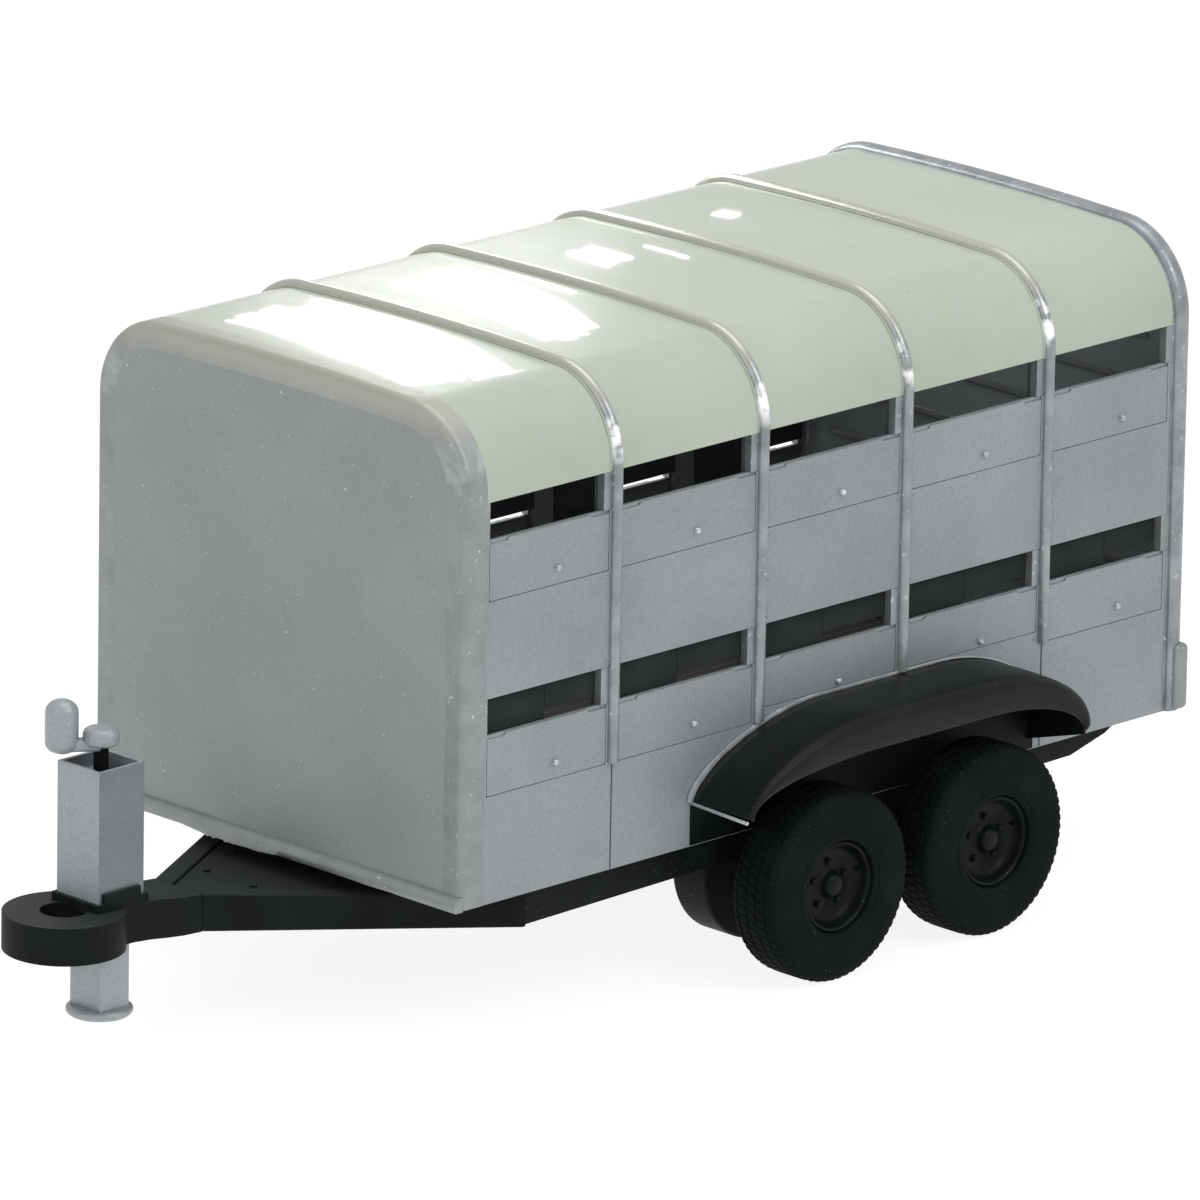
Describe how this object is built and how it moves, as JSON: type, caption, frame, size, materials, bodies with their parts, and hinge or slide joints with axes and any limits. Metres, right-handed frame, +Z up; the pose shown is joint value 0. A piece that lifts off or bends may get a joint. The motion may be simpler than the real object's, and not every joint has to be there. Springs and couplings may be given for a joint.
{
  "type": "livestock trailer",
  "caption": "Twin-axle box trailer for cattle, sheep or pigs, with vent flaps, a rear loading ramp, an A-frame drawbar with a tow ring and a winding prop stand.",
  "frame": {"origin": "on the ground, under the middle of the trailer's bounding box", "axes": "+Y towards the rear ramp, with the drawbar at -Y; +X to the trailer's own left side; +Z up"},
  "size_m": [2.51, 4.928, 2.3863],
  "materials": {
    "body_alloy": "fine metallic silver paint, satin",
    "hoop_bright": "bright plated steel, rubbed along its crests",
    "roof_shell": "glossy pale green-cream moulded shell",
    "frame_black": "satin black paint",
    "tyre_rubber": "black rubber",
    "rim_black": "satin black paint",
    "stand_zinc": "zinc-plated steel, satin",
    "deck_alloy": "dark anti-slip faced ply"
  },
  "bodies": {
    "trailer": {"front_panel": "body_alloy", "front_hoop": "hoop_bright", "rib_hoop_1": "hoop_bright", "rib_hoop_2": "hoop_bright", "rib_hoop_3": "hoop_bright", "rib_hoop_4": "hoop_bright", "rear_portal": "hoop_bright", "roof_skin": "roof_shell", "side_lower_left": "body_alloy", "side_middle_left": "body_alloy", "side_lower_right": "body_alloy", "side_middle_right": "body_alloy", "rear_sill": "frame_black", "chassis_frame": "frame_black", "floor_deck": "deck_alloy", "drawbar_arm_left": "frame_black", "drawbar_arm_right": "frame_black", "coupling_ring": "frame_black", "stand_sleeve": "stand_zinc", "mudguard_left": "frame_black", "suspension_left": "frame_black", "mudguard_right": "frame_black", "suspension_right": "frame_black", "axle_front": "frame_black", "axle_rear": "frame_black"},
    "wheel_front_left": {"tyre_front_left": "tyre_rubber", "rim_front_left": "rim_black"},
    "wheel_front_right": {"tyre_front_right": "tyre_rubber", "rim_front_right": "rim_black"},
    "wheel_rear_left": {"tyre_rear_left": "tyre_rubber", "rim_rear_left": "rim_black"},
    "wheel_rear_right": {"tyre_rear_right": "tyre_rubber", "rim_rear_right": "rim_black"},
    "flap_low_left_1_leaf": {"flap_low_left_1": "body_alloy"},
    "flap_low_left_2_leaf": {"flap_low_left_2": "body_alloy"},
    "flap_low_left_3_leaf": {"flap_low_left_3": "body_alloy"},
    "flap_low_left_4_leaf": {"flap_low_left_4": "body_alloy"},
    "flap_low_left_5_leaf": {"flap_low_left_5": "body_alloy"},
    "flap_high_left_1_leaf": {"flap_high_left_1": "body_alloy"},
    "flap_high_left_2_leaf": {"flap_high_left_2": "body_alloy"},
    "flap_high_left_3_leaf": {"flap_high_left_3": "body_alloy"},
    "flap_high_left_4_leaf": {"flap_high_left_4": "body_alloy"},
    "flap_high_left_5_leaf": {"flap_high_left_5": "body_alloy"},
    "flap_low_right_1_leaf": {"flap_low_right_1": "body_alloy"},
    "flap_low_right_2_leaf": {"flap_low_right_2": "body_alloy"},
    "flap_low_right_3_leaf": {"flap_low_right_3": "body_alloy"},
    "flap_low_right_4_leaf": {"flap_low_right_4": "body_alloy"},
    "flap_low_right_5_leaf": {"flap_low_right_5": "body_alloy"},
    "flap_high_right_1_leaf": {"flap_high_right_1": "body_alloy"},
    "flap_high_right_2_leaf": {"flap_high_right_2": "body_alloy"},
    "flap_high_right_3_leaf": {"flap_high_right_3": "body_alloy"},
    "flap_high_right_4_leaf": {"flap_high_right_4": "body_alloy"},
    "flap_high_right_5_leaf": {"flap_high_right_5": "body_alloy"},
    "ramp": {"rear_ramp": "body_alloy"},
    "ramp_latch_left_arm": {"ramp_latch_left": "stand_zinc"},
    "ramp_latch_right_arm": {"ramp_latch_right": "stand_zinc"},
    "prop_leg": {"stand_leg": "stand_zinc"},
    "prop_crank": {"stand_crank": "stand_zinc", "stand_screw": "stand_zinc"}
  },
  "joints": [
    {"name": "wheel_front_left_spin", "type": "hinge", "parent": "trailer", "child": "wheel_front_left", "pos_m": [1.138, 0.384, 0.355], "axis": [1, 0, 0], "continuous": true},
    {"name": "wheel_front_right_spin", "type": "hinge", "parent": "trailer", "child": "wheel_front_right", "pos_m": [-1.138, 0.384, 0.355], "axis": [1, 0, 0], "continuous": true},
    {"name": "wheel_rear_left_spin", "type": "hinge", "parent": "trailer", "child": "wheel_rear_left", "pos_m": [1.138, 1.187, 0.355], "axis": [1, 0, 0], "continuous": true},
    {"name": "wheel_rear_right_spin", "type": "hinge", "parent": "trailer", "child": "wheel_rear_right", "pos_m": [-1.138, 1.187, 0.355], "axis": [1, 0, 0], "continuous": true},
    {"name": "flap_low_left_1_hinge", "type": "hinge", "parent": "trailer", "child": "flap_low_left_1_leaf", "pos_m": [0.9503, -0.8165, 1.159], "axis": [0, -1, 0], "range_deg": [0, 173]},
    {"name": "flap_low_left_2_hinge", "type": "hinge", "parent": "trailer", "child": "flap_low_left_2_leaf", "pos_m": [0.9503, -0.126, 1.159], "axis": [0, -1, 0], "range_deg": [0, 173]},
    {"name": "flap_low_left_3_hinge", "type": "hinge", "parent": "trailer", "child": "flap_low_left_3_leaf", "pos_m": [0.9503, 0.606, 1.159], "axis": [0, -1, 0], "range_deg": [0, 173]},
    {"name": "flap_low_left_4_hinge", "type": "hinge", "parent": "trailer", "child": "flap_low_left_4_leaf", "pos_m": [0.9503, 1.338, 1.159], "axis": [0, -1, 0], "range_deg": [0, 173]},
    {"name": "flap_low_left_5_hinge", "type": "hinge", "parent": "trailer", "child": "flap_low_left_5_leaf", "pos_m": [0.9503, 2.037, 1.159], "axis": [0, -1, 0], "range_deg": [0, 173]},
    {"name": "flap_high_left_1_hinge", "type": "hinge", "parent": "trailer", "child": "flap_high_left_1_leaf", "pos_m": [0.9503, -0.8165, 1.874], "axis": [0, -1, 0], "range_deg": [0, 173]},
    {"name": "flap_high_left_2_hinge", "type": "hinge", "parent": "trailer", "child": "flap_high_left_2_leaf", "pos_m": [0.9503, -0.126, 1.874], "axis": [0, -1, 0], "range_deg": [0, 173]},
    {"name": "flap_high_left_3_hinge", "type": "hinge", "parent": "trailer", "child": "flap_high_left_3_leaf", "pos_m": [0.9503, 0.606, 1.874], "axis": [0, -1, 0], "range_deg": [0, 173]},
    {"name": "flap_high_left_4_hinge", "type": "hinge", "parent": "trailer", "child": "flap_high_left_4_leaf", "pos_m": [0.9503, 1.338, 1.874], "axis": [0, -1, 0], "range_deg": [0, 173]},
    {"name": "flap_high_left_5_hinge", "type": "hinge", "parent": "trailer", "child": "flap_high_left_5_leaf", "pos_m": [0.9503, 2.037, 1.874], "axis": [0, -1, 0], "range_deg": [0, 173]},
    {"name": "flap_low_right_1_hinge", "type": "hinge", "parent": "trailer", "child": "flap_low_right_1_leaf", "pos_m": [-0.9503, -0.8165, 1.159], "axis": [0, 1, 0], "range_deg": [0, 173]},
    {"name": "flap_low_right_2_hinge", "type": "hinge", "parent": "trailer", "child": "flap_low_right_2_leaf", "pos_m": [-0.9503, -0.126, 1.159], "axis": [0, 1, 0], "range_deg": [0, 173]},
    {"name": "flap_low_right_3_hinge", "type": "hinge", "parent": "trailer", "child": "flap_low_right_3_leaf", "pos_m": [-0.9503, 0.606, 1.159], "axis": [0, 1, 0], "range_deg": [0, 173]},
    {"name": "flap_low_right_4_hinge", "type": "hinge", "parent": "trailer", "child": "flap_low_right_4_leaf", "pos_m": [-0.9503, 1.338, 1.159], "axis": [0, 1, 0], "range_deg": [0, 173]},
    {"name": "flap_low_right_5_hinge", "type": "hinge", "parent": "trailer", "child": "flap_low_right_5_leaf", "pos_m": [-0.9503, 2.037, 1.159], "axis": [0, 1, 0], "range_deg": [0, 173]},
    {"name": "flap_high_right_1_hinge", "type": "hinge", "parent": "trailer", "child": "flap_high_right_1_leaf", "pos_m": [-0.9503, -0.8165, 1.874], "axis": [0, 1, 0], "range_deg": [0, 173]},
    {"name": "flap_high_right_2_hinge", "type": "hinge", "parent": "trailer", "child": "flap_high_right_2_leaf", "pos_m": [-0.9503, -0.126, 1.874], "axis": [0, 1, 0], "range_deg": [0, 173]},
    {"name": "flap_high_right_3_hinge", "type": "hinge", "parent": "trailer", "child": "flap_high_right_3_leaf", "pos_m": [-0.9503, 0.606, 1.874], "axis": [0, 1, 0], "range_deg": [0, 173]},
    {"name": "flap_high_right_4_hinge", "type": "hinge", "parent": "trailer", "child": "flap_high_right_4_leaf", "pos_m": [-0.9503, 1.338, 1.874], "axis": [0, 1, 0], "range_deg": [0, 173]},
    {"name": "flap_high_right_5_hinge", "type": "hinge", "parent": "trailer", "child": "flap_high_right_5_leaf", "pos_m": [-0.9503, 2.037, 1.874], "axis": [0, 1, 0], "range_deg": [0, 173]},
    {"name": "ramp_hinge", "type": "hinge", "parent": "trailer", "child": "ramp", "pos_m": [0, 2.444, 0.562], "axis": [-1, 0, 0], "range_deg": [0, 109]},
    {"name": "ramp_latch_left_turn", "type": "hinge", "parent": "ramp", "child": "ramp_latch_left_arm", "pos_m": [0.835, 2.4283, 1.7], "axis": [0, -1, 0], "range_deg": [0, 90]},
    {"name": "ramp_latch_right_turn", "type": "hinge", "parent": "ramp", "child": "ramp_latch_right_arm", "pos_m": [-0.835, 2.4283, 1.7], "axis": [0, 1, 0], "range_deg": [0, 90]},
    {"name": "prop_crank_turn", "type": "hinge", "parent": "trailer", "child": "prop_crank", "pos_m": [0, -2.072, 1.04], "axis": [0, 0, 1], "range_deg": [-2160, 3960]},
    {"name": "prop_leg_slide", "type": "slide", "parent": "trailer", "child": "prop_leg", "axis": [0, 0, 1], "range_m": [-0.1201, 0.2201]}
  ],
  "couplings": [
    {"joint": "prop_leg_slide", "follows": "prop_crank_turn", "m_per_rad": 0.0031831}
  ]
}
